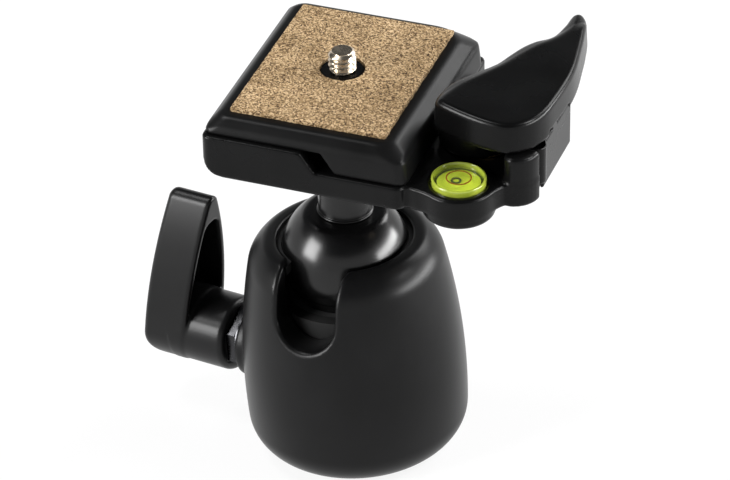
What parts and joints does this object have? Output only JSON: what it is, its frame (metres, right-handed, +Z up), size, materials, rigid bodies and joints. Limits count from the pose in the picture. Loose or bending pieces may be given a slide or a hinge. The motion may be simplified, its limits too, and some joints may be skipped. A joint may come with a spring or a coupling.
{
  "type": "tripod ball head",
  "caption": "Ball head for a tripod with a winged locking knob, a notch for the neck to drop into, and a cork-faced quick-release plate held by a cam lever beside a bubble level.",
  "frame": {"origin": "centre of the base face, where the tripod's thread enters", "axes": "+Z up along the housing's axis, -Y towards the notch that the neck drops into, -X towards the locking knob"},
  "size_m": [0.1097, 0.0694, 0.1043],
  "materials": {
    "black_paint": "satin black coat",
    "black_anodised": "satin",
    "steel": "polished",
    "black_plastic": "matte",
    "aluminium": "machined",
    "ball_black": "gloss",
    "knob_plastic": "satin",
    "vial_clear": "gloss",
    "vial_lime": "gloss",
    "ring_red": "matte",
    "cork": "matte",
    "lever_black": "satin",
    "brass": "satin"
  },
  "bodies": {
    "housing": {"housing": "black_paint", "screw_bush": "brass", "base_plug": "black_anodised", "thread_insert": "steel", "disc_spring": "steel", "seat_ring": "black_plastic"},
    "lift": {"lift_piston": "aluminium", "pressure_cup": "black_plastic"},
    "liner": {"liner_cup": "black_plastic"},
    "ball": {"ball": "ball_black"},
    "head": {"neck_post": "ball_black", "platform_base": "black_paint", "platform_screw": "steel", "vial_cup": "vial_clear", "vial_fluid": "vial_lime", "vial_ring": "ring_red", "vial_bubble": "vial_clear", "vial_lens": "vial_clear", "quick_plate": "black_paint", "cork_pad": "cork", "lever_pivot": "steel", "cam_washer": "brass", "lever_spring": "steel", "catch_pin": "steel", "catch_spring": "steel"},
    "knob": {"clamp_screw": "steel", "knob_insert": "steel", "knob_washer": "steel", "knob_lever": "knob_plastic"},
    "lever": {"clamp_lever": "lever_black"},
    "catch": {"safety_catch": "lever_black"},
    "camera_screw": {"camera_screw": "steel", "screw_clip": "black_plastic"}
  },
  "joints": [
    {"name": "side_tilt", "type": "hinge", "parent": "housing", "child": "liner", "pos_m": [0, 0, 0.05], "axis": [0, 1, 0], "range_deg": [-36.5, 29.5]},
    {"name": "front_tilt", "type": "hinge", "parent": "liner", "child": "ball", "pos_m": [0, 0, 0.05], "axis": [0.9981, 0, -0.061], "range_deg": [-33, 90]},
    {"name": "pan", "type": "hinge", "parent": "ball", "child": "head", "pos_m": [0, 0, 0.05], "axis": [0.061, 0, 0.9981], "continuous": true},
    {"name": "knob_turn", "type": "hinge", "parent": "housing", "child": "knob", "pos_m": [-0.02789, 0.00244, 0.0186], "axis": [-0.9962, 0.0872, 0], "range_deg": [-10, 90]},
    {"name": "cup_lift", "type": "slide", "parent": "housing", "child": "lift", "axis": [0, 0, 1], "range_m": [-0.00024, 0.0000266]},
    {"name": "lever_swing", "type": "hinge", "parent": "head", "child": "lever", "pos_m": [0.03821, -0.0012, 0.09455], "axis": [0.061, 0, 0.9981], "range_deg": [-80, 0], "stiffness_Nm_per_rad": 0.01, "springref_deg": 20.05},
    {"name": "catch_swing", "type": "hinge", "parent": "head", "child": "catch", "pos_m": [0.05226, -0.00632, 0.08658], "axis": [0.061, 0, 0.9981], "range_deg": [-15, 0], "stiffness_Nm_per_rad": 0.004, "springref_deg": 17.19},
    {"name": "screw_turn", "type": "hinge", "parent": "head", "child": "camera_screw", "pos_m": [0.00297, 0, 0.09851], "axis": [0.061, 0, 0.9981], "continuous": true}
  ],
  "couplings": [
    {"joint": "knob_turn", "follows": "cup_lift", "rad_per_m": -6545}
  ]
}
